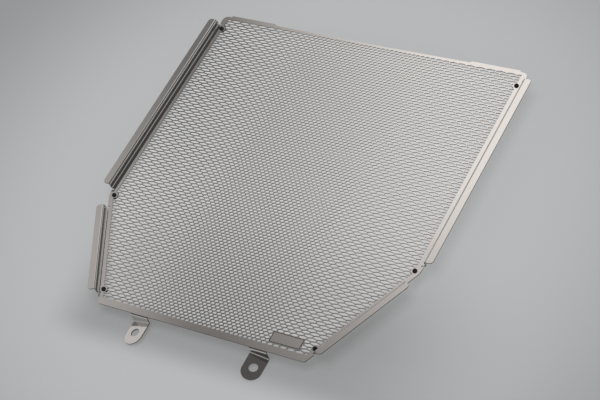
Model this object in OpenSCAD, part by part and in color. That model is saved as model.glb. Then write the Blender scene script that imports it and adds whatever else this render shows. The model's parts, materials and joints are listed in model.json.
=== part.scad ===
// Radiator guard for a motorcycle: one stainless sheet, cut to a fine graded mesh and folded,
// with six rubber buffers pushed through it from behind.
// The guard lies face up: X to its right, Y to its top edge, Z out of its front face.
// Heights on the sheet are counted from the line through the two middle buffers.

/* [Sheet] */
// Thickness of the stainless sheet
sheet_t = 0.9; // [0.7:0.1:1.2]
// Half width of the flat sheet between its side folds
half_w = 155.3; // [152:0.1:165]
// Height of the top edge in the middle
top_y = 213.6; // [208:0.1:216]
// How far the two mounting tabs stand above the middle of the top edge
tab_rise = 2.4; // [1:0.1:8]
// Length of each tab
tab_l = 46.5; // [30:0.5:60]
// Distance of each tab from the side fold
tab_from_side = 8.3; // [8:0.1:20]
// Width of the slope at each end of a tab
tab_slope = 1; // [0.5:0.1:2]
// How far the ends of the top edge stand above its middle
end_rise = 0.9; // [0.4:0.1:2]
// Radius of the two top corners
top_corner_r = 5; // [2:0.5:8]
// Height where the slanted sides start
shoulder_y = -0.5; // [-10:0.5:10]
// Radius of the two shoulders
shoulder_r = 15; // [5:1:30]
// Height of the bottom edge
bottom_y = -105; // [-120:1:-100]
// Half width of the bottom edge
bottom_half_w = 102; // [96:1:115]
// Radius of the two bottom corners
bottom_corner_r = 3; // [1:0.5:6]

/* [Folded edges] */
// Inside radius of every fold
fold_r = 1; // [0.5:0.1:1.5]
// How far the lip stands in front of the sheet
lip_rise = 6; // [5:0.5:9]
// Width of each side flange, from the edge of the flat sheet to the edge of its lip
side_flange_w = 8.7; // [7:0.1:11]
// Distance from the shoulder up to the side flange
side_flange_start = 7; // [5:0.5:20]
// Distance from the side flange up to the sheet's corner
side_flange_stop = 10.5; // [8:0.5:60]
// Width of each slanted flange, from the edge of the flat sheet to the edge of its lip
slant_flange_w = 8; // [6:0.1:10]
// Distance along the slanted edge from the shoulder to the flange
slant_flange_start = 15; // [10:1:30]
// Distance along the slanted edge from the flange to the bottom corner
slant_flange_stop = 11.3; // [8:0.1:30]
// Radius of the corners of the lips
lip_corner_r = 3; // [1:0.5:5]
// Width of the relief notch at each end of a fold
notch_w = 1.5; // [1:0.1:2]
// Depth of the relief notch
notch_d = 2; // [1:0.1:3]

/* [Lugs] */
// Width of each fixing lug
lug_w = 17; // [14:0.5:22]
// Inner side of each lug, from the middle of the guard
lug_in_x = 50; // [30:1:70]
// How far the lug is set back at its inner side
lug_back_in = 5.7; // [5:0.1:7]
// How far the lug is set back at its outer side
lug_back_out = 9.3; // [8:0.1:12]
// Distance of the fixing hole's centre from the sheet's bottom edge
lug_hole_drop = 13; // [12:0.5:20]
// Diameter of the fixing hole
lug_hole_d = 8; // [6:0.5:9]
// Length of the lug below the sheet's bottom edge
lug_l = 24.5; // [22:0.5:35]

/* [Mesh] */
// How many times coarser than the real mesh this one is cut
coarse = 7; // [6:0.5:12]
// Height from one row of openings to the next in the real mesh
row_step = 2.7; // [2.4:0.05:3.2]
// Width of an opening and its web in the middle of the real mesh
pitch_mid = 4.38; // [4:0.05:5]
// Width of an opening and its web at the sides of the real mesh
pitch_side = 9.65; // [8:0.05:11]
// Distance from the middle where the openings start to widen
grade_from_x = 50; // [30:1:60]
// Distance from the middle where the openings stop widening
grade_to_x = 104; // [90:1:120]
// Width of the real mesh's webs
web = 0.7; // [0.5:0.05:0.9]
// How much higher an opening of the real mesh is in its middle than at its ends
peak = 0.8; // [0.4:0.05:1]
// Plain strip between the meshed field and the side folds
side_border = 5.3; // [4:0.1:15]
// Plain strip between the meshed field and the top edge
top_border = 1.9; // [1.5:0.1:10]
// Plain strip between the meshed field and the bottom edge
bottom_border = 6.2; // [4:0.1:12]
// Plain strip between the meshed field and the slanted edges
slant_border = 4.2; // [4:0.1:8]
// Radius of the plain ring round each buffer's hole
land_r = 3.4; // [2.8:0.1:6]

/* [Name place] */
// Inner end of the plain place for a name
label_in_x = 63; // [50:1:70]
// Length of that place
label_l = 29.5; // [20:0.5:32]
// Distance of that place from the sheet's bottom edge
label_up = 10; // [7:0.5:20]
// Height of that place
label_h = 9.5; // [6:0.5:12]

/* [Buffers] */
// Distance of the top buffers from the side folds
top_buffer_in = 4.8; // [4.5:0.1:10]
// Distance of the top buffers from the top edge
top_buffer_drop = 14.2; // [12:0.1:40]
// Distance of the middle buffers from the side folds
mid_buffer_in = 5.3; // [4.8:0.1:10]
// Distance of the low buffers from the slanted edges
low_buffer_in = 4.1; // [4:0.1:10]
// Distance of the low buffers from the bottom corners, along the slanted edges
low_buffer_up = 13.6; // [10:0.1:30]
// Diameter of the hole in the sheet and of the buffer's neck
neck_d = 3.2; // [2.8:0.1:3.6]
// Diameter of the tip that shows in front
tip_d = 4.2; // [3.8:0.1:5]
// Height of the tip
tip_h = 1.9; // [1.4:0.1:3]
// Diameter of the head behind the sheet
head_d = 7.8; // [6:0.1:9]
// Diameter of the flat back of the head
head_back_d = 4; // [3:0.1:6]
// Height of the head's rim
head_rim = 0.4; // [0.2:0.1:1]
// Depth of the head behind the sheet
head_h = 2.2; // [1.5:0.1:6]
// Diameter of the dimple in the middle of the tip
dimple_d = 1.2; // [0.8:0.1:2]
// Depth of that dimple
dimple_h = 0.7; // [0.4:0.1:1]

/* [Hidden] */
$fn = 48;
stainless = "#b9b8b4";
rubber = "#1d1d1f";
// Length of a cut that is sure to pass through the sheet and its folds
through = 60;
// The top edge with its tabs
tab_top_y = top_y + tab_rise;
tab_out_x = half_w - tab_from_side;
tab_in_x = tab_out_x - tab_l;
corner_top_y = top_y + end_rise;
// The slanted edges: their angle from upright, and their length
slant_angle = atan((half_w - bottom_half_w) / (shoulder_y - bottom_y));
slant_l = norm([half_w - bottom_half_w, shoulder_y - bottom_y]);
slant_flange_l = slant_l - slant_flange_start - slant_flange_stop;
side_flange_low_y = shoulder_y + side_flange_start;
side_flange_top_y = corner_top_y - side_flange_stop;
// The lugs, and how far their faces turn outwards
lug_toe = atan((lug_back_out - lug_back_in) / lug_w);
lug_wall_y = bottom_y - fold_r - sheet_t;
lug_hole_y = bottom_y - lug_hole_drop;
lug_end_y = bottom_y - lug_l;
lug_round_y = lug_end_y + lug_w / 2;
// The part's origin is under the middle of its box, and its lugs reach down to it
origin_y = (tab_top_y + lug_end_y) / 2;
front_z = lug_back_out + sheet_t / cos(lug_toe);
// Rows and webs of the mesh as it is cut here: whole rows fill the field
field_half_w = half_w - side_border;
field_top_y = top_y - top_border;
field_bottom_y = bottom_y + bottom_border;
field_h = field_top_y - field_bottom_y;
cut_rows = round(field_h / (coarse * row_step));
cut_row = field_h / cut_rows;
cut_web = coarse * web;
cut_peak = coarse * peak;
web_count = 2 * ceil(field_half_w / (coarse * pitch_mid)) + 1;
label_low_y = bottom_y + label_up;
top_buffer_x = half_w - top_buffer_in;
top_buffer_y = top_y - top_buffer_drop;
mid_buffer_x = half_w - mid_buffer_in;
low_buffer_x = bottom_half_w + low_buffer_up * sin(slant_angle) - low_buffer_in * cos(slant_angle);
low_buffer_y = bottom_y + low_buffer_up * cos(slant_angle) + low_buffer_in * sin(slant_angle);
buffer_places = [
    [-top_buffer_x, top_buffer_y], [top_buffer_x, top_buffer_y],
    [-mid_buffer_x, 0], [mid_buffer_x, 0],
    [-low_buffer_x, low_buffer_y], [low_buffer_x, low_buffer_y]];

// Points of an arc that rounds the corner b between a and c with radius r
function rounded(a, b, c, r, steps = 8) =
    let (
        u = (a - b) / norm(a - b),
        v = (c - b) / norm(c - b),
        half = acos(u * v) / 2,
        mid = (u + v) / norm(u + v),
        centre = b + mid * r / sin(half),
        from = b + u * r / tan(half) - centre,
        to = b + v * r / tan(half) - centre
    )
    [for (i = [0:steps])
        let (w = i / steps, sweep = 180 - 2 * half)
        centre + (sin((1 - w) * sweep) * from + sin(w * sweep) * to) / sin(sweep)];

// Right half of the flat sheet's outline, from the middle of the top edge to that of the bottom
function sheet_half() =
    let (
        top_corner = [half_w, corner_top_y],
        shoulder = [half_w, shoulder_y],
        low_corner = [bottom_half_w, bottom_y]
    )
    concat(
        [[0, top_y], [tab_in_x - tab_slope, corner_top_y], [tab_in_x, tab_top_y],
            [tab_out_x, tab_top_y], [tab_out_x + tab_slope, corner_top_y]],
        rounded([tab_out_x, corner_top_y], top_corner, shoulder, top_corner_r),
        rounded(top_corner, shoulder, low_corner, shoulder_r),
        rounded(shoulder, low_corner, [0, bottom_y], bottom_corner_r),
        [[0, bottom_y]]);

// Half the distance between two webs of one row, at x from the middle
function half_pitch(x) =
    let (share = min(1, max(0, (x - grade_from_x) / (grade_to_x - grade_from_x))))
    coarse * (pitch_mid + (pitch_side - pitch_mid) * share) / 2;

// Place of web n to the right of the middle: even ones end the openings of even rows
function web_x(n) = n == 0 ? 0 : let (last = web_x(n - 1)) last + half_pitch(last);
function signed_web_x(n) = sign(n) * web_x(abs(n));

module both_sides() {
    children();
    mirror([1, 0, 0]) children();
}

// One opening: upright ends, and a low peak in its upper and lower edges at the next rows' web
module opening(left, middle, right) {
    edge = (cut_row - cut_web - cut_peak) / 2;
    polygon([
        [left, -edge], [middle, -edge - cut_peak], [right, -edge],
        [right, edge], [middle, edge + cut_peak], [left, edge]]);
}

// All openings, each row moved half an opening against the next
module openings() {
    for (row = [0:cut_rows - 1], n = [-web_count:web_count])
        if ((row + n) % 2 == 0)
            translate([0, field_bottom_y + (row + 0.5) * cut_row])
                opening(signed_web_x(n) + cut_web / 2, signed_web_x(n + 1),
                    signed_web_x(n + 2) - cut_web / 2);
}

// The meshed field, less the rings round the buffers' holes and the place for a name
module field() {
    border_x = slant_border / cos(slant_angle);
    shoulder_in_y = shoulder_y - (half_w - border_x - field_half_w) / tan(slant_angle);
    low_x = bottom_half_w - border_x + (field_bottom_y - bottom_y) * tan(slant_angle);
    difference() {
        both_sides() polygon([
            [0, field_top_y], [field_half_w, field_top_y], [field_half_w, shoulder_in_y],
            [low_x, field_bottom_y], [0, field_bottom_y]]);
        for (place = buffer_places) translate(place) circle(land_r);
        translate([label_in_x, label_low_y]) square([label_l, label_h]);
    }
}

// The flat sheet with its mesh, holes and relief notches, front face at height 0
module panel() {
    translate([0, 0, -sheet_t]) difference() {
        linear_extrude(sheet_t) difference() {
            both_sides() polygon(sheet_half());
            intersection() {
                openings();
                field();
            }
            both_sides() notches();
        }
        for (place = buffer_places)
            translate([place[0], place[1], -through / 2]) cylinder(through, d = neck_d);
    }
}

// Relief notches at the ends of the right side's folds
module notches() {
    for (y = [side_flange_low_y - notch_w, side_flange_top_y])
        translate([half_w - notch_d, y]) square([2 * notch_d, notch_w]);
    on_slant() for (x = [slant_flange_start - notch_w, slant_flange_start + slant_flange_l])
        translate([x, -notch_d]) square([notch_w, 2 * notch_d]);
}

// Puts x along the slanted edge, from the shoulder downwards, and y out of the sheet
module on_slant() {
    translate([half_w, shoulder_y]) rotate(-90 - slant_angle) children();
}

// A quarter of a fold: starts along x, turns towards +y about a centre above the origin
module quarter_fold() {
    translate([0, fold_r + sheet_t]) intersection() {
        difference() {
            circle(fold_r + sheet_t);
            circle(fold_r);
        }
        translate([0, -2 * fold_r - 2 * sheet_t]) square(2 * fold_r + 2 * sheet_t);
    }
}

// Section of a flange: fold up, wall, fold out, lip. x runs out of the sheet, y forwards
module flange_section(width) {
    wall_in = fold_r;
    lip_x = 2 * fold_r + sheet_t;
    translate([0, -sheet_t]) quarter_fold();
    translate([wall_in, fold_r]) square([sheet_t, lip_rise - sheet_t - 2 * fold_r]);
    translate([lip_x, lip_rise]) rotate(180) quarter_fold();
    translate([lip_x, lip_rise - sheet_t]) square([width - lip_x, sheet_t]);
}

// Plan of a flange, x along the fold and y out of the sheet, its outer corners rounded
module flange_plan(length, width) {
    polygon(concat(
        [[0, 0]],
        rounded([0, 0], [0, width], [length, width], lip_corner_r),
        rounded([0, width], [length, width], [length, 0], lip_corner_r),
        [[length, 0]]));
}

// A flange along x, from 0 to its length
module flange(length, width) {
    intersection() {
        rotate([90, 0, 90]) linear_extrude(length) flange_section(width);
        translate([0, 0, -through / 2]) linear_extrude(through) flange_plan(length, width);
    }
}

module side_flange() {
    translate([half_w, side_flange_top_y, 0]) rotate(-90)
        flange(side_flange_top_y - side_flange_low_y, side_flange_w);
}

module slant_flange() {
    on_slant() translate([slant_flange_start, 0, 0]) flange(slant_flange_l, slant_flange_w);
}

// Plan of the right lug, from the sheet's bottom edge to its round end
module lug_plan() {
    translate([lug_in_x, lug_round_y]) square([lug_w, bottom_y - lug_round_y]);
    translate([lug_in_x + lug_w / 2, lug_round_y]) circle(lug_w / 2);
}

// Right lug: folded back, then down again, its face toed out so that its wall deepens outwards
module lug() {
    face_l = 2 * lug_w;
    turned_y = lug_wall_y - fold_r;
    difference() {
        intersection() {
            union() {
                // Fold at the sheet's bottom edge
                translate([0, bottom_y, 0]) rotate([180, 0, 0]) rotate([90, 0, 90])
                    linear_extrude(through * 2) quarter_fold();
                // Wall between the two folds
                translate([0, lug_wall_y + sheet_t, 0]) rotate([90, 0, 0]) linear_extrude(sheet_t)
                    polygon([
                        [lug_in_x, -sheet_t - fold_r],
                        [lug_in_x + lug_w, -sheet_t - fold_r],
                        [lug_in_x + lug_w, -lug_back_out + fold_r / cos(lug_toe)],
                        [lug_in_x, -lug_back_in + fold_r / cos(lug_toe)]]);
                // Fold and face in the plane that is toed out
                translate([lug_in_x, turned_y, -lug_back_in]) rotate([0, lug_toe, 0]) {
                    translate([-lug_w / 2, 0, -sheet_t]) rotate([90, 0, 90])
                        linear_extrude(face_l) quarter_fold();
                    translate([-lug_w / 2, lug_end_y - turned_y - lug_w, -sheet_t])
                        cube([face_l, turned_y - lug_end_y + lug_w, sheet_t]);
                }
            }
            translate([0, 0, -through / 2]) linear_extrude(through) lug_plan();
        }
        lug_hole_axis() cylinder(through, d = lug_hole_d, center = true);
    }
}

// Middle of the fixing hole in the lug's front face, square to that face
module lug_hole_axis() {
    translate([lug_in_x + lug_w / 2, lug_hole_y, -(lug_back_in + lug_back_out) / 2])
        rotate([0, lug_toe, 0]) children();
}

// The folded sheet is one solid
module guard_sheet() {
    color(stainless) translate([0, -origin_y, front_z]) {
        panel();
        both_sides() {
            side_flange();
            slant_flange();
            lug();
        }
    }
}

// Half section of a buffer: head behind the sheet, neck through it, tip in front.
// Heights are counted from the sheet's back
module buffer_section() {
    polygon([
        [0, -head_h], [head_back_d / 2, -head_h], [head_d / 2, -head_rim], [head_d / 2, 0], [0, 0]]);
    square([neck_d / 2, sheet_t]);
    translate([0, sheet_t]) difference() {
        intersection() {
            scale([1, 2 * tip_h / tip_d]) circle(d = tip_d);
            square([tip_d, tip_h]);
        }
        translate([0, tip_h - dimple_h]) square([dimple_d / 2, tip_h]);
    }
}

// One rubber buffer in its hole
module buffer(place) {
    color(rubber) translate([place[0], place[1] - origin_y, front_z - sheet_t])
        rotate_extrude() buffer_section();
}

guard_sheet();
for (i = [0:len(buffer_places) - 1])
    buffer(buffer_places[i]);
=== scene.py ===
"""Looks of a motorcycle radiator guard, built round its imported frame.

The folded sheet is made anew, with its mesh as fine as the real one's. The buffers keep their
solids and get their rubber. A studio like the photograph's stands round them."""
import math
import bmesh
import bpy
from mathutils import Matrix, Vector
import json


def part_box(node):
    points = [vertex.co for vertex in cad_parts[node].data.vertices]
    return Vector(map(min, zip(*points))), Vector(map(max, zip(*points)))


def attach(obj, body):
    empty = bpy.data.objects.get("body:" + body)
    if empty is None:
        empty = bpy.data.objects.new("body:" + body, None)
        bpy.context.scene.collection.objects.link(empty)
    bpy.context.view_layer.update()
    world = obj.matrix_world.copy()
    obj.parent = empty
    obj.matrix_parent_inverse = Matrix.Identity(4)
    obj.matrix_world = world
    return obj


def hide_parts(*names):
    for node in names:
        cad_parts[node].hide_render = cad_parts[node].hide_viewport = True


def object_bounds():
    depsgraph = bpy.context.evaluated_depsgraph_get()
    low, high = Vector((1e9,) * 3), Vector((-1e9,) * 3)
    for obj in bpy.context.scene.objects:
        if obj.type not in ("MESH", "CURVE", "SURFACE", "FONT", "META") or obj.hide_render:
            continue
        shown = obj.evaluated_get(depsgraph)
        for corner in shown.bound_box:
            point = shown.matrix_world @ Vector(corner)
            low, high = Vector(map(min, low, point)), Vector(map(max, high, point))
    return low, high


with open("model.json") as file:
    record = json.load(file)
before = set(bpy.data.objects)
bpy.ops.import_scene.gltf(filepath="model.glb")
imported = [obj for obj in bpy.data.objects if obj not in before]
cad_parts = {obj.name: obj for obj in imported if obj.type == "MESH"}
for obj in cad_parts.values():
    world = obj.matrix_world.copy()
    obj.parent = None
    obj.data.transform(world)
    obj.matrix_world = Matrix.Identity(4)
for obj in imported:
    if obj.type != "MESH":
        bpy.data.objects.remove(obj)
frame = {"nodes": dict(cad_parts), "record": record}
cad_low, cad_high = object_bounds()
MM = 0.001

# The guard sheet: one sheet of stainless steel, cut to a fine mesh whose openings widen towards
# the sides, then folded. Its sides and slanted lower edges are folded forwards and out again to
# stiff lips, and two lugs at the bottom are folded back and toed out to reach the radiator.
sheet_low, sheet_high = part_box("guard_sheet")
middle_low, middle_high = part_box("buffer_middle_right")
DATUM_Y = (middle_low.y + middle_high.y) / 2
SHEET_T = 0.9 * MM
FOLD_R = 1 * MM
LIP_RISE = 6 * MM
FRONT_Z = sheet_high.z - LIP_RISE
BACK_Z = FRONT_Z - SHEET_T

# The outline of the flat sheet: x from its middle, y from the line of the middle buffers
HALF_W = 155.3 * MM
TOP_Y = 213.6 * MM
TAB_TOP_Y = 216 * MM
TAB_IN_X = 100.5 * MM
TAB_OUT_X = 147 * MM
TAB_SLOPE = 1 * MM
CORNER_TOP_Y = 214.5 * MM
TOP_CORNER_R = 5 * MM
SHOULDER_Y = -0.5 * MM
SHOULDER_R = 15 * MM
BOTTOM_Y = -105 * MM
BOTTOM_HALF_W = 102 * MM
BOTTOM_CORNER_R = 3 * MM

# Flanges on the straight sides and the slanted lower edges, and the notches at their ends
SIDE_FLANGE_W = sheet_high.x - HALF_W
SIDE_FLANGE_LOW_Y = 6.5 * MM
SIDE_FLANGE_TOP_Y = 204 * MM
SLANT_FLANGE_W = 8 * MM
SLANT_FLANGE_START = 15 * MM
SLANT_FLANGE_L = 91 * MM
LIP_CORNER_R = 3 * MM
NOTCH_W = 1.5 * MM
NOTCH_D = 2 * MM

# Lugs: how far back each one's face lies at its inner and its outer side
LUG_IN_X = 50 * MM
LUG_W = 17 * MM
LUG_BACK_IN = 5.7 * MM
LUG_BACK_OUT = 9.3 * MM
LUG_END_Y = sheet_low.y - DATUM_Y
LUG_TOE = math.atan((LUG_BACK_OUT - LUG_BACK_IN) / LUG_W)

# The mesh: its pitch grows from the middle to the sides, in rows of one height
ROW_STEP = 2.7 * MM
PITCH_MID = 4.38 * MM
PITCH_SIDE = 9.65 * MM
GRADE_FROM_X = 50 * MM
GRADE_TO_X = 104 * MM
WEB = 0.7 * MM
PEAK = 0.8 * MM
FIELD_HALF_W = 150 * MM
FIELD_TOP_Y = 211.7 * MM
FIELD_BOTTOM_Y = -98.8 * MM
SLANT_BORDER = 4.2 * MM
RING_R = 3.4 * MM
HOLE_R = 1.6 * MM
NAME_PLACE_X = (63 * MM, 92.5 * MM)
NAME_PLACE_Y = (-96 * MM, -85.4 * MM)
NAME_LINE_W = 0.6 * MM
NAME_LINE_D = 0.25 * MM

# How fine the round shapes are, and how deep the tools reach that cut the sheet. Posts and blocks
# also cut the openings' prisms, so they reach further.
FOLD_STEPS = 10
CORNER_STEPS = 8
POST_STEPS = 32
OPENING_DEPTH = 3 * SHEET_T
POST_DEPTH = 6 * SHEET_T
MIRROR_MERGE = 0.01 * MM

STEEL_COLOUR = "#cccac7"
STEEL_ROUGHNESS = (0.09, 0.15)
# Darker than the faces partly as laser-cut steel is, and partly as painted shade on the walls of
# the  openings and the rims of the lips
CUT_EDGE_COLOUR = "#75726c"
CUT_EDGE_ROUGHNESS = (0.45, 0.65)
FACE, CUT_EDGE = 0, 1

RIGHT = Vector((1, 0, 0))
UP = Vector((0, 1, 0))
OUT_OF_FACE = Vector((0, 0, 1))
DOWN_SLANT = Vector((BOTTOM_HALF_W - HALF_W, BOTTOM_Y - SHOULDER_Y, 0)).normalized()
OUT_OF_SLANT = DOWN_SLANT.cross(OUT_OF_FACE) * -1


def linear(hex_value):
    """An sRGB hex colour as linear red, green, blue and a full alpha."""
    parts = [int(hex_value[i:i + 2], 16) / 255 for i in (1, 3, 5)]
    return [p / 12.92 if p <= 0.04045 else ((p + 0.055) / 1.055) ** 2.4 for p in parts] + [1]


def node(tree, kind, settings=None, **links):
    """Adds a shader node with its settings and the sockets that feed its inputs."""
    made = tree.nodes.new(kind)
    for key, value in (settings or {}).items():
        if key in made.inputs:
            made.inputs[key].default_value = value
        else:
            setattr(made, key, value)
    for key, source in links.items():
        tree.links.new(source, made.inputs[key.replace("_", " ")])
    return made


def new_material(name, colour, **settings):
    """A material of one base colour, with the settings of its shader's own sockets."""
    material = bpy.data.materials.new(name)
    material.use_nodes = True
    shader = material.node_tree.nodes["Principled BSDF"]
    shader.inputs["Base Color"].default_value = linear(colour)
    for key, value in settings.items():
        shader.inputs[key.replace("_", " ")].default_value = value
    return material, material.node_tree, shader


def roughen(tree, shader, noise, limits):
    """Lets the roughness wander between two limits."""
    low, high = limits
    roughness = node(tree, "ShaderNodeMapRange", {"To Min": low, "To Max": high},
                     Value=noise.outputs["Fac"])
    tree.links.new(roughness.outputs["Result"], shader.inputs["Roughness"])


def emboss(tree, shader, noise, strength, height):
    """Lets the surface rise and fall by a height in metres."""
    bump = node(tree, "ShaderNodeBump", {"Strength": strength, "Distance": height},
                Height=noise.outputs["Fac"])
    tree.links.new(bump.outputs["Normal"], shader.inputs["Normal"])


def rolled_stainless():
    """Cold-rolled stainless sheet: a satin mirror, with faint lines left by the rolls."""
    material, tree, shader = new_material("cold_rolled_stainless", STEEL_COLOUR, Metallic=1)
    place = node(tree, "ShaderNodeTexCoord").outputs["Object"]
    # The lines are about 0.05 mm apart on the real sheet, and drawn 0.4 mm apart to show
    lines_place = node(tree, "ShaderNodeMapping", {"Scale": (2500, 40, 2500)}, Vector=place)
    lines = node(tree, "ShaderNodeTexNoise", {"Scale": 1, "Detail": 3},
                 Vector=lines_place.outputs["Vector"])
    roughen(tree, shader, lines, STEEL_ROUGHNESS)
    emboss(tree, shader, lines, strength=0.05, height=0.00002)
    return material


def laser_cut_edge():
    """The cut edges of the sheet: rougher than its faces and streaked by the laser. They are
    darker, partly as laser-cut steel is and partly as painted shade on the walls of the openings.
    """
    material, tree, shader = new_material("laser_cut_edge", CUT_EDGE_COLOUR, Metallic=1)
    place = node(tree, "ShaderNodeTexCoord").outputs["Object"]
    # The streaks stand about 0.25 mm apart along the cut
    streaks = node(tree, "ShaderNodeTexNoise", {"Scale": 4000, "Detail": 2}, Vector=place)
    roughen(tree, shader, streaks, CUT_EDGE_ROUGHNESS)
    return material


def on_sheet(x, y):
    """A point of the sheet's front face, its height counted from the middle buffers."""
    return Vector((x, y + DATUM_Y, FRONT_Z))


def edge_near(bm, point):
    """The edge whose middle lies nearest to the point."""
    return min(bm.edges, key=lambda e: ((e.verts[0].co + e.verts[1].co) / 2 - point).length)


def round_corner(bm, point, radius):
    """Rounds the corner of a flat outline that lies at the point."""
    vert = min(bm.verts, key=lambda v: (v.co - point).length)
    sides = [(e.other_vert(vert).co - vert.co).normalized() for e in vert.link_edges
             if len(e.link_faces) == 1]
    half_angle = sides[0].angle(sides[1]) / 2
    bmesh.ops.bevel(bm, geom=[vert], offset=radius / math.tan(half_angle), offset_type="OFFSET",
                    segments=CORNER_STEPS, profile=0.5, affect="VERTICES", material=-1)


def fold(bm, edge, start, end, radius):
    """Sweeps the edge round a quarter fold, and gives the edge where the fold ends.

    Start and end are the directions from the fold's centre to the sheet."""
    middle = (edge.verts[0].co + edge.verts[1].co) / 2
    swept = bmesh.ops.spin(bm, geom=[edge], cent=middle - start * radius,
                           axis=start.cross(end), angle=math.pi / 2, steps=FOLD_STEPS,
                           use_merge=False, use_duplicate=False)
    return next(g for g in swept["geom_last"] if isinstance(g, bmesh.types.BMEdge))


def drawn_out(bm, edge, shift):
    """Extrudes the edge to a flat face, and gives the face's far edge."""
    drawn = bmesh.ops.extrude_edge_only(bm, edges=[edge])["geom"]
    verts = [g for g in drawn if isinstance(g, bmesh.types.BMVert)]
    bmesh.ops.translate(bm, verts=verts, vec=shift)
    return next(g for g in drawn if isinstance(g, bmesh.types.BMEdge))


def flange(bm, near, out, width):
    """Folds the edge of the sheet that is near a point forwards, and out again to a lip."""
    outer_r = FOLD_R + SHEET_T
    edge = fold(bm, edge_near(bm, near), -OUT_OF_FACE, out, FOLD_R)
    edge = drawn_out(bm, edge, OUT_OF_FACE * (LIP_RISE - FOLD_R - outer_r))
    edge = fold(bm, edge, -out, OUT_OF_FACE, outer_r)
    edge = drawn_out(bm, edge, out * (width - FOLD_R - outer_r))
    for corner in [v.co.copy() for v in edge.verts]:
        round_corner(bm, corner, LIP_CORNER_R)


def lug(bm, near):
    """Folds a stub of the bottom edge back, and down again to a face that is toed outwards."""
    down = -UP
    face_normal = Matrix.Rotation(LUG_TOE, 3, "Y") @ OUT_OF_FACE
    edge = fold(bm, edge_near(bm, near), OUT_OF_FACE, down, FOLD_R + SHEET_T)
    edge = drawn_out(bm, edge, Vector())
    for vert in edge.verts:
        share = (vert.co.x - LUG_IN_X) / LUG_W
        depth = LUG_BACK_IN + (LUG_BACK_OUT - LUG_BACK_IN) * share
        vert.co.z = FRONT_Z - depth + FOLD_R / math.cos(LUG_TOE)
    edge = fold(bm, edge, -down, -face_normal, FOLD_R)
    edge = drawn_out(bm, edge, UP * (LUG_END_Y + DATUM_Y - edge.verts[0].co.y))
    for corner in [v.co.copy() for v in edge.verts]:
        round_corner(bm, corner, LUG_W / 2)


def folded_face():
    """The front face of the folded sheet, without its mesh: the right half, then mirrored."""
    shoulder = on_sheet(HALF_W, SHOULDER_Y)
    slant_start = shoulder + DOWN_SLANT * SLANT_FLANGE_START
    slant_end = slant_start + DOWN_SLANT * SLANT_FLANGE_L
    outline = [
        on_sheet(0, TOP_Y), on_sheet(TAB_IN_X - TAB_SLOPE, CORNER_TOP_Y),
        on_sheet(TAB_IN_X, TAB_TOP_Y), on_sheet(TAB_OUT_X, TAB_TOP_Y),
        on_sheet(TAB_OUT_X + TAB_SLOPE, CORNER_TOP_Y), on_sheet(HALF_W, CORNER_TOP_Y),
        on_sheet(HALF_W, SIDE_FLANGE_TOP_Y), on_sheet(HALF_W, SIDE_FLANGE_LOW_Y), shoulder,
        slant_start, slant_end, on_sheet(BOTTOM_HALF_W, BOTTOM_Y),
        on_sheet(LUG_IN_X + LUG_W, BOTTOM_Y), on_sheet(LUG_IN_X, BOTTOM_Y),
        on_sheet(0, BOTTOM_Y)]
    bm = bmesh.new()
    bm.faces.new([bm.verts.new(point) for point in reversed(outline)])
    round_corner(bm, on_sheet(HALF_W, CORNER_TOP_Y), TOP_CORNER_R)
    round_corner(bm, shoulder, SHOULDER_R)
    round_corner(bm, on_sheet(BOTTOM_HALF_W, BOTTOM_Y), BOTTOM_CORNER_R)
    side_middle = on_sheet(HALF_W, (SIDE_FLANGE_LOW_Y + SIDE_FLANGE_TOP_Y) / 2)
    flange(bm, side_middle, RIGHT, SIDE_FLANGE_W)
    flange(bm, (slant_start + slant_end) / 2, OUT_OF_SLANT, SLANT_FLANGE_W)
    lug(bm, on_sheet(LUG_IN_X + LUG_W / 2, BOTTOM_Y))
    bmesh.ops.mirror(bm, geom=bm.verts[:] + bm.edges[:] + bm.faces[:],
                     matrix=Matrix.Identity(4), merge_dist=MIRROR_MERGE, axis="X")
    bmesh.ops.recalc_face_normals(bm, faces=bm.faces)
    panel = max(bm.faces, key=lambda f: f.calc_area())
    if panel.normal.z < 0:
        bmesh.ops.reverse_faces(bm, faces=bm.faces)
    return bm


def made_object(name, bm, materials=(), cut=False):
    """Makes an object of the bmesh. All faces of a cutting tool leave cut edges."""
    for face in bm.faces:
        face.material_index = CUT_EDGE if cut else FACE
    mesh = bpy.data.meshes.new(name)
    bm.to_mesh(mesh)
    bm.free()
    for material in materials:
        mesh.materials.append(material)
    made = bpy.data.objects.new(name, mesh)
    bpy.context.scene.collection.objects.link(made)
    return made


def with_modifier(piece, kind, **settings):
    """Adds a modifier and applies it."""
    modifier = piece.modifiers.new(kind.lower(), kind)
    for key, value in settings.items():
        setattr(modifier, key, value)
    evaluated = piece.evaluated_get(bpy.context.evaluated_depsgraph_get())
    mesh = bpy.data.meshes.new_from_object(evaluated)
    piece.modifiers.clear()
    piece.data = mesh


def cut_away(piece, tool):
    """Cuts the tool's shape out of the piece, and removes the tool."""
    with_modifier(piece, "BOOLEAN", operation="DIFFERENCE", solver="MANIFOLD", object=tool)
    bpy.data.objects.remove(tool)


def half_pitch(x):
    """Half the distance between two webs of one row, at x from the middle."""
    share = min(1, max(0, (x - GRADE_FROM_X) / (GRADE_TO_X - GRADE_FROM_X)))
    return (PITCH_MID + (PITCH_SIDE - PITCH_MID) * share) / 2


def web_places():
    """Places of the webs to the right of the middle: even ones stand in even rows."""
    places = [0.0]
    while places[-1] < FIELD_HALF_W + PITCH_SIDE:
        places.append(places[-1] + half_pitch(places[-1]))
    return places


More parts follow.
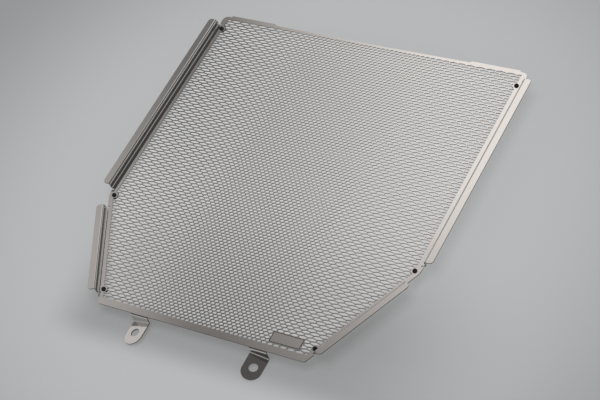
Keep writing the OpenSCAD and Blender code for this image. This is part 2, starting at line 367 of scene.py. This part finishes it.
def openings():
    """Every opening of the mesh as a prism through the sheet.

    The level lines of a grid are bent to zigzags. Every second upright is dissolved, which makes
    flat hexagons in staggered rows, and each hexagon is inset by half a web."""
    webs = web_places()
    last = len(webs) - 1
    rows = round((FIELD_TOP_Y - FIELD_BOTTOM_Y) / ROW_STEP)
    bm = bmesh.new()
    bmesh.ops.create_grid(bm, x_segments=2 * last, y_segments=rows, size=1)
    uprights = []
    places = {}
    for vert in bm.verts:
        column = round(vert.co.x * last)
        line = round((vert.co.y + 1) / 2 * rows)
        places[vert] = (column, line)
    for edge in bm.edges:
        column, line = min(places[v] for v in edge.verts)
        across = places[edge.verts[0]][1] == places[edge.verts[1]][1]
        if not across and (column + line) % 2 == 1:
            uprights.append(edge)
    for vert, (column, line) in places.items():
        side = PEAK / 2 if (column + line) % 2 == 0 else -PEAK / 2
        x = math.copysign(webs[abs(column)], column)
        vert.co = on_sheet(x, FIELD_BOTTOM_Y + line * ROW_STEP + side)
    bmesh.ops.dissolve_edges(bm, edges=uprights, use_verts=False)
    rims = bmesh.ops.inset_individual(bm, faces=bm.faces[:], thickness=WEB / 2,
                                      use_even_offset=True)["faces"]
    bmesh.ops.delete(bm, geom=rims, context="FACES")
    trim_to_field(bm)
    bmesh.ops.solidify(bm, geom=bm.faces[:], thickness=OPENING_DEPTH)
    heights = [v.co.z for v in bm.verts]
    shift = (FRONT_Z + BACK_Z) / 2 - (min(heights) + max(heights)) / 2
    bmesh.ops.translate(bm, verts=bm.verts, vec=OUT_OF_FACE * shift)
    bmesh.ops.recalc_face_normals(bm, faces=bm.faces)
    return made_object("openings", bm, sheet_materials, cut=True)


def field_limits():
    """The straight limits of the meshed field: a point of each, and its direction outwards."""
    slant_point = on_sheet(HALF_W, SHOULDER_Y) - OUT_OF_SLANT * SLANT_BORDER
    limits = [(on_sheet(0, FIELD_TOP_Y), UP), (on_sheet(0, FIELD_BOTTOM_Y), -UP)]
    for side in (1, -1):
        mirror = Vector((side, 1, 1))
        limits.append((on_sheet(side * FIELD_HALF_W, 0), RIGHT * side))
        limits.append((slant_point * mirror, OUT_OF_SLANT * mirror))
    return limits


def trim_to_field(bm):
    """Cuts the openings off at the limits of the meshed field."""
    for point, out in field_limits():
        bmesh.ops.bisect_plane(bm, geom=bm.verts[:] + bm.edges[:] + bm.faces[:],
                               plane_co=point, plane_no=out, clear_outer=True)


def add_post(bm, point, radius, axis=OUT_OF_FACE):
    """Adds a round post that stands through the sheet along the axis."""
    turn = OUT_OF_FACE.rotation_difference(axis).to_matrix().to_4x4()
    bmesh.ops.create_cone(bm, cap_ends=True, segments=POST_STEPS, radius1=radius, radius2=radius,
                          depth=POST_DEPTH, matrix=Matrix.Translation(point) @ turn)


def add_block(bm, low, high):
    """Adds a block through the sheet, from the low to the high corner in the sheet's plane."""
    centre = (low + high) / 2
    size = high - low
    size.z = POST_DEPTH
    place = Matrix.Translation(centre) @ Matrix.Diagonal(size.to_4d())
    bmesh.ops.create_cube(bm, size=1, matrix=place)


def add_notch(bm, point, turn):
    """Adds the block of a relief notch, centred on the sheet's edge."""
    size = Vector((2 * NOTCH_D, NOTCH_W, OPENING_DEPTH, 1))
    place = Matrix.Translation(point) @ Matrix.Rotation(turn, 4, "Z") @ Matrix.Diagonal(size)
    bmesh.ops.create_cube(bm, size=1, matrix=place)


def buffer_places():
    """The middle of each buffer's hole, on the back of the sheet."""
    places = []
    for name in sorted(frame["nodes"]):
        if name.startswith("buffer_"):
            low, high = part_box(name)
            places.append(Vector(((low.x + high.x) / 2, (low.y + high.y) / 2, BACK_Z)))
    return places


def plain_places():
    """What stays whole in the mesh: a ring round each buffer's hole and the place for a name."""
    bm = bmesh.new()
    for place in buffer_places():
        add_post(bm, place, RING_R)
    add_block(bm, on_sheet(NAME_PLACE_X[0], NAME_PLACE_Y[0]),
              on_sheet(NAME_PLACE_X[1], NAME_PLACE_Y[1]))
    return made_object("plain_places", bm, sheet_materials, cut=True)


def holes_and_notches():
    """Holes for buffers and screws, and a relief notch at each end of every flange."""
    bm = bmesh.new()
    for place in buffer_places():
        add_post(bm, place, HOLE_R)
    for mount in frame["record"]["mounts"]:
        if mount["kind"] == "bore":
            add_post(bm, Vector(mount["pos_m"]), mount["dims"]["r_mm"] * MM,
                     Vector(mount["axis"]))
    slant = math.atan2(-DOWN_SLANT.x, -DOWN_SLANT.y)
    for side in (1, -1):
        for y in (SIDE_FLANGE_LOW_Y - NOTCH_W / 2, SIDE_FLANGE_TOP_Y + NOTCH_W / 2):
            add_notch(bm, on_sheet(side * HALF_W, y), 0)
        for along in (SLANT_FLANGE_START - NOTCH_W / 2,
                      SLANT_FLANGE_START + SLANT_FLANGE_L + NOTCH_W / 2):
            point = on_sheet(HALF_W, SHOULDER_Y) + DOWN_SLANT * along
            add_notch(bm, point * Vector((side, 1, 1)), -side * slant)
    return made_object("holes_and_notches", bm, sheet_materials, cut=True)


def name_frame():
    """The line engraved round the place for a name."""
    low = on_sheet(NAME_PLACE_X[0], NAME_PLACE_Y[0]) - OUT_OF_FACE * NAME_LINE_D
    high = on_sheet(NAME_PLACE_X[1], NAME_PLACE_Y[1]) + OUT_OF_FACE * NAME_LINE_D
    rings = []
    for inset, over in ((NAME_LINE_W / 2, 0), (1.5 * NAME_LINE_W, NAME_LINE_D)):
        bm = bmesh.new()
        step = Vector((inset, inset, -over))
        size = (high - step) - (low + step)
        place = Matrix.Translation((low + high) / 2) @ Matrix.Diagonal(size.to_4d())
        bmesh.ops.create_cube(bm, size=1, matrix=place)
        rings.append(made_object("name_frame", bm, sheet_materials, cut=True))
    cut_away(*rings)
    return rings[0]


def smooth_folds(piece):
    """Shades the folds round, and keeps each flat face flat up to the fold that it runs into.

    A fold's strips stand a whole step apart, and the flat faces beside it half a step."""
    step = math.pi / 2 / FOLD_STEPS
    bm = bmesh.new()
    bm.from_mesh(piece.data)
    for face in bm.faces:
        face.smooth = True
    for edge in bm.edges:
        angle = edge.calc_face_angle(0)
        edge.smooth = angle < step / 4 or step * 3 / 4 < angle < 2 * step
    bm.to_mesh(piece.data)
    bm.free()


sheet_materials = [rolled_stainless(), laser_cut_edge()]
guard = made_object("stainless_guard", folded_face(), sheet_materials)
with_modifier(guard, "SOLIDIFY", thickness=SHEET_T, offset=-1, use_even_offset=True,
              material_offset_rim=CUT_EDGE)
mesh_cutter = openings()
cut_away(mesh_cutter, plain_places())
cut_away(guard, mesh_cutter)
cut_away(guard, holes_and_notches())
cut_away(guard, name_frame())
smooth_folds(guard)
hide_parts("guard_sheet")
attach(guard, "root")


# The buffers: six moulded plugs of black rubber. Each is pulled through its hole from behind
# until its domed tip snaps out in front, and its bevelled head keeps the steel off the radiator.
RUBBER_COLOUR = "#18181a"
RUBBER_DARK = "#131314"
RUBBER_PALE = "#222223"
RUBBER_ROUGHNESS = (0.45, 0.65)
# The mix node has its colours behind sockets of other kinds that bear the same names
MIX_DARK, MIX_PALE, MIX_RESULT = 6, 7, 2


def moulded_rubber():
    """Moulded black rubber: a dull skin with a faint grain from the mould."""
    material, tree, shader = new_material("moulded_black_rubber", RUBBER_COLOUR,
                                          Specular_IOR_Level=0.4)
    place = node(tree, "ShaderNodeTexCoord").outputs["Object"]
    # The grain of the mould is about 0.8 mm
    skin = node(tree, "ShaderNodeTexNoise", {"Scale": 1200, "Detail": 2}, Vector=place)
    colour = node(tree, "ShaderNodeMix", {"data_type": "RGBA"})
    colour.inputs[MIX_DARK].default_value = linear(RUBBER_DARK)
    colour.inputs[MIX_PALE].default_value = linear(RUBBER_PALE)
    tree.links.new(skin.outputs["Fac"], colour.inputs["Factor"])
    tree.links.new(colour.outputs[MIX_RESULT], shader.inputs["Base Color"])
    roughen(tree, shader, skin, RUBBER_ROUGHNESS)
    emboss(tree, shader, skin, strength=0.2, height=0.0001)
    return material


rubber = moulded_rubber()
for name, cad_node in frame["nodes"].items():
    if name.startswith("buffer_"):
        cad_node.data.materials.clear()
        cad_node.data.materials.append(rubber)


# The studio: a plain pale floor whose glow paints light and shade on it, one large soft light
# over it, a pale world, and two screens above that only the steel reflects. Lengths are in
# metres. A region is a list of straight limits, each with a point on it, its direction outwards
# and the width of its soft edge.
FLOOR_HALF = 6
FLOOR_COLOUR = "#8d8e8f"
# Painted light: the floor glows this much round the guard, and fades to a share of it further
# away
FLOOR_GLOW = 0.33
FLOOR_FADE_FROM = 0.2
FLOOR_FADE_TO = 0.45
FLOOR_FAR_SHARE = 0.45
# Painted light: the floor glows this much more behind the mesh, which lifts the mesh's shadow
# there
GLOW_BEHIND_MESH = 0.18
MESH_GLOW_SOFT = 12 * MM
# Painted shadow: the floor glows less in a soft band at the guard's lower edge, by the first
# amount  beside the mesh and by the second behind it
SHADE_BELOW = 0.15
SHADE_BEHIND_MESH = 0.1
SHADE_REGION = [
    (Vector((0, -0.172, 0)), -UP, 0.03), (Vector((-0.13, 0, 0)), -RIGHT, 0.06),
    (Vector((0, -0.06, 0)), UP, 0.12), (Vector((0.2, 0, 0)), RIGHT, 0.16)]

SCREEN_Z = 2
SCREEN_ABOVE = {"low_x": -2.6, "high_x": 0.4, "low_y": 0.2, "high_y": 2.8}
SCREEN_GLOW = 0.12
BRIGHT_GLOW = 1.2
BRIGHT_REGION = [
    (Vector((-1.54, 1.7, 0)), Vector((-0.882, -0.471, 0)), 0.6),
    (Vector((-1, 0.95, 0)), Vector((0.394, -0.919, 0)), 0.75),
    (Vector((-0.4, 0, 0)), RIGHT, 0.6)]
LOW_LEFT_GLOW = 0.5
LOW_LEFT_REGION = [(Vector((0, 1.33, 0)), UP, 0.6), (Vector((-1.48, 0, 0)), RIGHT, 0.25)]
LEFT_SCREEN = {"low_x": -4.5, "high_x": -2.7, "low_y": 0.8, "high_y": 3.5}
LEFT_SCREEN_GLOW = 0.8

LIGHT_PLACE = Vector((0.1, 0.1, 4))
LIGHT_SIZE = 4
LIGHT_POWER = 68
HORIZON_GLOW = 0.6
OVERHEAD_GLOW = 0.1
# The sine of the heights between which the world turns from one glow to the other
GLOW_FADE_FROM = 0.4
GLOW_FADE_TO = 0.68

CAMERA_PLACE = Vector((846.1, -719.1, 1225.1)) * MM + Vector((0, DATUM_Y, FRONT_Z))
CAMERA_AIM = on_sheet(20.5 * MM, 39.5 * MM)
CAMERA_ROLL = math.radians(-25.26)
CAMERA_LENS = 119.04


def arithmetic(tree, operation, one, other):
    """Joins a socket to another one, or to a number, by one step of arithmetic."""
    made = node(tree, "ShaderNodeMath", {"operation": operation})
    tree.links.new(one, made.inputs[0])
    if isinstance(other, float):
        made.inputs[1].default_value = other
    else:
        tree.links.new(other, made.inputs[1])
    return made.outputs["Value"]


def soft_region(tree, place, region, ramp="SMOOTHSTEP"):
    """A socket that is 1 inside the region and 0 outside it."""
    inside = None
    for point, out, soft in region:
        shift = node(tree, "ShaderNodeVectorMath", {"operation": "SUBTRACT"})
        tree.links.new(place, shift.inputs[0])
        shift.inputs[1].default_value = point
        beyond = node(tree, "ShaderNodeVectorMath", {"operation": "DOT_PRODUCT"})
        tree.links.new(shift.outputs["Vector"], beyond.inputs[0])
        beyond.inputs[1].default_value = out
        part = node(tree, "ShaderNodeMapRange", {
            "interpolation_type": ramp, "From Min": -soft / 2, "From Max": soft / 2,
            "To Min": 1, "To Max": 0}, Value=beyond.outputs["Value"]).outputs["Result"]
        inside = arithmetic(tree, "MULTIPLY", inside, part) if inside else part
    return inside


def pale_floor():
    """The floor. Its glow is painted light and shade: it glows less far from the guard and below
    it, where a painted shadow lies, and more behind the mesh, where painted light lifts its
    shadow.
    """
    bm = bmesh.new()
    bmesh.ops.create_grid(bm, x_segments=1, y_segments=1, size=FLOOR_HALF)
    material, tree, shader = new_material("pale_floor", FLOOR_COLOUR, Roughness=0.9,
                                          Specular_IOR_Level=0.1)
    shader.inputs["Emission Color"].default_value = linear("#fdfeff")
    place = node(tree, "ShaderNodeTexCoord").outputs["Object"]
    # Seen from the camera, what shows behind the mesh lies this far from it on the floor
    shift = Vector((CAMERA_AIM.x - CAMERA_PLACE.x, CAMERA_AIM.y - CAMERA_PLACE.y, 0))
    shift *= BACK_Z / (CAMERA_PLACE.z - CAMERA_AIM.z)
    # Where the floor shows through the mesh it gets a painted glow
    behind = soft_region(tree, place, [
        (point + shift, out, MESH_GLOW_SOFT) for point, out in field_limits()])
    # Where the painted shadow lies
    below = soft_region(tree, place, SHADE_REGION)
    # The painted glow fades with the distance from the guard
    reach = node(tree, "ShaderNodeVectorMath", {"operation": "LENGTH"})
    tree.links.new(place, reach.inputs[0])
    fading_glow = node(tree, "ShaderNodeMapRange", {
        "interpolation_type": "SMOOTHSTEP", "From Min": FLOOR_FADE_FROM,
        "From Max": FLOOR_FADE_TO, "To Min": FLOOR_GLOW,
        "To Max": FLOOR_GLOW * FLOOR_FAR_SHARE}, Value=reach.outputs["Value"])
    shade = node(tree, "ShaderNodeMix", {"A": SHADE_BELOW, "B": SHADE_BEHIND_MESH},
                 Factor=behind)
    glow = arithmetic(tree, "ADD", fading_glow.outputs["Result"],
                      arithmetic(tree, "MULTIPLY", behind, GLOW_BEHIND_MESH))
    glow = arithmetic(tree, "SUBTRACT", glow,
                      arithmetic(tree, "MULTIPLY", below, shade.outputs["Result"]))
    tree.links.new(glow, shader.inputs["Emission Strength"])
    made_object("floor", bm, [material])


def level_screen(name, base, parts=(), *, low_x, high_x, low_y, high_y):
    """A level screen that glows evenly, but for some regions that glow more."""
    bm = bmesh.new()
    corners = [(low_x, low_y), (high_x, low_y), (high_x, high_y), (low_x, high_y)]
    bm.faces.new([bm.verts.new((x, y, SCREEN_Z)) for x, y in corners])
    material, tree, shader = new_material(name, "#000000", Specular_IOR_Level=0,
                                          Emission_Color=linear("#fffaf8"))
    shader.inputs["Emission Strength"].default_value = base
    if parts:
        place = node(tree, "ShaderNodeTexCoord").outputs["Object"]
        glow = node(tree, "ShaderNodeValue").outputs["Value"]
        glow.default_value = base
        for more, region in parts:
            part = soft_region(tree, place, region, ramp="LINEAR")
            glow = arithmetic(tree, "ADD", glow, arithmetic(tree, "MULTIPLY", part, more))
        tree.links.new(glow, shader.inputs["Emission Strength"])
    made = made_object(name, bm, [material])
    made.visible_camera = False
    made.visible_diffuse = False
    made.visible_shadow = False


def soft_light(name, place, aim, size, power):
    """A square light that no reflection shows."""
    data = bpy.data.lights.new(name, "AREA")
    data.size = size
    data.energy = power
    light = bpy.data.objects.new(name, data)
    light.location = place
    light.rotation_euler = (aim - place).to_track_quat("-Z", "Y").to_euler()
    light.visible_glossy = False
    light.visible_camera = False
    bpy.context.scene.collection.objects.link(light)


def studio_world():
    """Pale all round at eye level, and dark overhead."""
    world = bpy.data.worlds.new("studio")
    bpy.context.scene.world = world
    world.use_nodes = True
    tree = world.node_tree
    direction = node(tree, "ShaderNodeTexCoord").outputs["Generated"]
    height = node(tree, "ShaderNodeSeparateXYZ", Vector=direction).outputs["Z"]
    glow = node(tree, "ShaderNodeMapRange", {
        "interpolation_type": "SMOOTHSTEP", "From Min": GLOW_FADE_FROM,
        "From Max": GLOW_FADE_TO, "To Min": HORIZON_GLOW, "To Max": OVERHEAD_GLOW}, Value=height)
    tree.links.new(glow.outputs["Result"], tree.nodes["Background"].inputs["Strength"])
    tree.nodes["Background"].inputs["Color"].default_value = linear("#ffffff")


pale_floor()
level_screen("screen_above", SCREEN_GLOW,
             [(BRIGHT_GLOW, BRIGHT_REGION), (LOW_LEFT_GLOW, LOW_LEFT_REGION)], **SCREEN_ABOVE)
level_screen("left_screen", LEFT_SCREEN_GLOW, **LEFT_SCREEN)
soft_light("top_soft_light", LIGHT_PLACE, (cad_low + cad_high) / 2, LIGHT_SIZE, LIGHT_POWER)
studio_world()
bpy.context.scene.view_settings.view_transform = "Standard"

# The camera looks down on the guard from beyond its lower right corner, as in the photograph
camera = bpy.data.objects.new("camera", bpy.data.cameras.new("camera"))
camera.data.lens = CAMERA_LENS
look = (CAMERA_AIM - CAMERA_PLACE).to_track_quat("-Z", "Y").to_matrix().to_4x4()
roll = Matrix.Rotation(CAMERA_ROLL, 4, "Z")
camera.matrix_world = Matrix.Translation(CAMERA_PLACE) @ look @ roll
bpy.context.scene.collection.objects.link(camera)
bpy.context.scene.camera = camera
